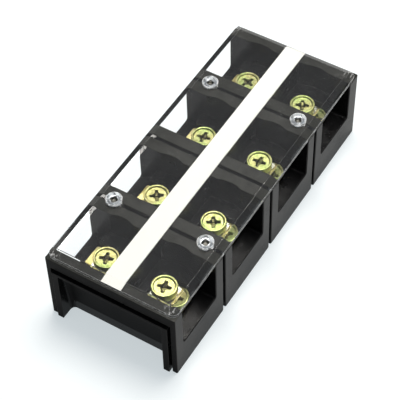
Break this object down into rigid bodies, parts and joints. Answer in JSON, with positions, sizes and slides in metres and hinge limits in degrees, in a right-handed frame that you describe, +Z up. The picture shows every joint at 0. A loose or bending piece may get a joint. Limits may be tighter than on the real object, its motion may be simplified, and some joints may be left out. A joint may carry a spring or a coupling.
{
  "type": "barrier terminal strip",
  "caption": "Black moulded terminal strip whose open cells hold clamp screws on brass bars, with a white marking strip under a clear bevelled cover plate.",
  "frame": {"origin": "middle of the underside, on the panel that the block stands on", "axes": "+X along the block from its hollow near end to its closed far end, +Y across it to the left-hand row of terminals, +Z up from the panel"},
  "size_m": [0.1852, 0.0736, 0.0479],
  "materials": {
    "moulding": "satin moulded thermoset",
    "clear_plate": "clear polished",
    "white_strip": "matt white",
    "bar_brass": "satin",
    "yellow_zinc": "yellow passivated zinc",
    "bright_zinc": "bright zinc",
    "nut_steel": "plain zinc"
  },
  "bodies": {
    "block": {"pole_housing_1": "moulding", "pole_housing_2": "moulding", "pole_housing_3": "moulding", "end_pole_housing": "moulding", "bus_bar_1": "bar_brass", "bus_bar_2": "bar_brass", "bus_bar_3": "bar_brass", "bus_bar_4": "bar_brass", "terminal_nut_left_1": "nut_steel", "terminal_nut_right_1": "nut_steel", "terminal_nut_left_2": "nut_steel", "terminal_nut_right_2": "nut_steel", "terminal_nut_left_3": "nut_steel", "terminal_nut_right_3": "nut_steel", "terminal_nut_left_4": "nut_steel", "terminal_nut_right_4": "nut_steel", "cover_nut_left_1": "nut_steel", "cover_nut_right_1": "nut_steel", "cover_nut_left_3": "nut_steel", "cover_nut_right_3": "nut_steel", "marking_strip": "white_strip"},
    "cover": {"cover_plate": "clear_plate"},
    "washers_left_1": {"square_washer_left_1": "yellow_zinc", "spring_washer_left_1": "yellow_zinc"},
    "terminal_screw_left_1": {"terminal_screw_left_1": "yellow_zinc"},
    "washers_right_1": {"square_washer_right_1": "yellow_zinc", "spring_washer_right_1": "yellow_zinc"},
    "terminal_screw_right_1": {"terminal_screw_right_1": "yellow_zinc"},
    "washers_left_2": {"square_washer_left_2": "yellow_zinc", "spring_washer_left_2": "yellow_zinc"},
    "terminal_screw_left_2": {"terminal_screw_left_2": "yellow_zinc"},
    "washers_right_2": {"square_washer_right_2": "yellow_zinc", "spring_washer_right_2": "yellow_zinc"},
    "terminal_screw_right_2": {"terminal_screw_right_2": "yellow_zinc"},
    "washers_left_3": {"square_washer_left_3": "yellow_zinc", "spring_washer_left_3": "yellow_zinc"},
    "terminal_screw_left_3": {"terminal_screw_left_3": "yellow_zinc"},
    "washers_right_3": {"square_washer_right_3": "yellow_zinc", "spring_washer_right_3": "yellow_zinc"},
    "terminal_screw_right_3": {"terminal_screw_right_3": "yellow_zinc"},
    "washers_left_4": {"square_washer_left_4": "yellow_zinc", "spring_washer_left_4": "yellow_zinc"},
    "terminal_screw_left_4": {"terminal_screw_left_4": "yellow_zinc"},
    "washers_right_4": {"square_washer_right_4": "yellow_zinc", "spring_washer_right_4": "yellow_zinc"},
    "terminal_screw_right_4": {"terminal_screw_right_4": "yellow_zinc"},
    "cover_screw_left_1": {"cover_screw_left_1": "bright_zinc"},
    "cover_screw_right_1": {"cover_screw_right_1": "bright_zinc"},
    "cover_screw_left_3": {"cover_screw_left_3": "bright_zinc"},
    "cover_screw_right_3": {"cover_screw_right_3": "bright_zinc"}
  },
  "joints": [
    {"name": "cover_lift", "type": "slide", "parent": "block", "child": "cover", "axis": [0, 0, 1], "range_m": [0, 0.04]},
    {"name": "washers_left_1_lift", "type": "slide", "parent": "block", "child": "washers_left_1", "axis": [0, 0, 1], "range_m": [0, 0.005]},
    {"name": "terminal_screw_left_1_turn", "type": "hinge", "parent": "washers_left_1", "child": "terminal_screw_left_1", "pos_m": [-0.0694, 0.0168, 0.03], "axis": [0, 0, 1], "range_deg": [0, 1800]},
    {"name": "washers_right_1_lift", "type": "slide", "parent": "block", "child": "washers_right_1", "axis": [0, 0, 1], "range_m": [0, 0.005]},
    {"name": "terminal_screw_right_1_turn", "type": "hinge", "parent": "washers_right_1", "child": "terminal_screw_right_1", "pos_m": [-0.0694, -0.0168, 0.03], "axis": [0, 0, 1], "range_deg": [0, 1800]},
    {"name": "washers_left_2_lift", "type": "slide", "parent": "block", "child": "washers_left_2", "axis": [0, 0, 1], "range_m": [0, 0.005]},
    {"name": "terminal_screw_left_2_turn", "type": "hinge", "parent": "washers_left_2", "child": "terminal_screw_left_2", "pos_m": [-0.0234, 0.0168, 0.03], "axis": [0, 0, 1], "range_deg": [0, 1800]},
    {"name": "washers_right_2_lift", "type": "slide", "parent": "block", "child": "washers_right_2", "axis": [0, 0, 1], "range_m": [0, 0.005]},
    {"name": "terminal_screw_right_2_turn", "type": "hinge", "parent": "washers_right_2", "child": "terminal_screw_right_2", "pos_m": [-0.0234, -0.0168, 0.03], "axis": [0, 0, 1], "range_deg": [0, 1800]},
    {"name": "washers_left_3_lift", "type": "slide", "parent": "block", "child": "washers_left_3", "axis": [0, 0, 1], "range_m": [0, 0.005]},
    {"name": "terminal_screw_left_3_turn", "type": "hinge", "parent": "washers_left_3", "child": "terminal_screw_left_3", "pos_m": [0.0226, 0.0168, 0.03], "axis": [0, 0, 1], "range_deg": [0, 1800]},
    {"name": "washers_right_3_lift", "type": "slide", "parent": "block", "child": "washers_right_3", "axis": [0, 0, 1], "range_m": [0, 0.005]},
    {"name": "terminal_screw_right_3_turn", "type": "hinge", "parent": "washers_right_3", "child": "terminal_screw_right_3", "pos_m": [0.0226, -0.0168, 0.03], "axis": [0, 0, 1], "range_deg": [0, 1800]},
    {"name": "washers_left_4_lift", "type": "slide", "parent": "block", "child": "washers_left_4", "axis": [0, 0, 1], "range_m": [0, 0.005]},
    {"name": "terminal_screw_left_4_turn", "type": "hinge", "parent": "washers_left_4", "child": "terminal_screw_left_4", "pos_m": [0.0686, 0.0168, 0.03], "axis": [0, 0, 1], "range_deg": [0, 1800]},
    {"name": "washers_right_4_lift", "type": "slide", "parent": "block", "child": "washers_right_4", "axis": [0, 0, 1], "range_m": [0, 0.005]},
    {"name": "terminal_screw_right_4_turn", "type": "hinge", "parent": "washers_right_4", "child": "terminal_screw_right_4", "pos_m": [0.0686, -0.0168, 0.03], "axis": [0, 0, 1], "range_deg": [0, 1800]},
    {"name": "cover_screw_left_1_turn", "type": "hinge", "parent": "cover", "child": "cover_screw_left_1", "pos_m": [-0.0464, 0.02635, 0.045], "axis": [0, 0, 1], "range_deg": [0, 2160]},
    {"name": "cover_screw_right_1_turn", "type": "hinge", "parent": "cover", "child": "cover_screw_right_1", "pos_m": [-0.0464, -0.02635, 0.045], "axis": [0, 0, 1], "range_deg": [0, 2160]},
    {"name": "cover_screw_left_3_turn", "type": "hinge", "parent": "cover", "child": "cover_screw_left_3", "pos_m": [0.0456, 0.02635, 0.045], "axis": [0, 0, 1], "range_deg": [0, 2160]},
    {"name": "cover_screw_right_3_turn", "type": "hinge", "parent": "cover", "child": "cover_screw_right_3", "pos_m": [0.0456, -0.02635, 0.045], "axis": [0, 0, 1], "range_deg": [0, 2160]}
  ],
  "couplings": [
    {"joint": "washers_left_1_lift", "follows": "terminal_screw_left_1_turn", "m_per_rad": 0.00015915},
    {"joint": "washers_right_1_lift", "follows": "terminal_screw_right_1_turn", "m_per_rad": 0.00015915},
    {"joint": "washers_left_2_lift", "follows": "terminal_screw_left_2_turn", "m_per_rad": 0.00015915},
    {"joint": "washers_right_2_lift", "follows": "terminal_screw_right_2_turn", "m_per_rad": 0.00015915},
    {"joint": "washers_left_3_lift", "follows": "terminal_screw_left_3_turn", "m_per_rad": 0.00015915},
    {"joint": "washers_right_3_lift", "follows": "terminal_screw_right_3_turn", "m_per_rad": 0.00015915},
    {"joint": "washers_left_4_lift", "follows": "terminal_screw_left_4_turn", "m_per_rad": 0.00015915},
    {"joint": "washers_right_4_lift", "follows": "terminal_screw_right_4_turn", "m_per_rad": 0.00015915}
  ]
}
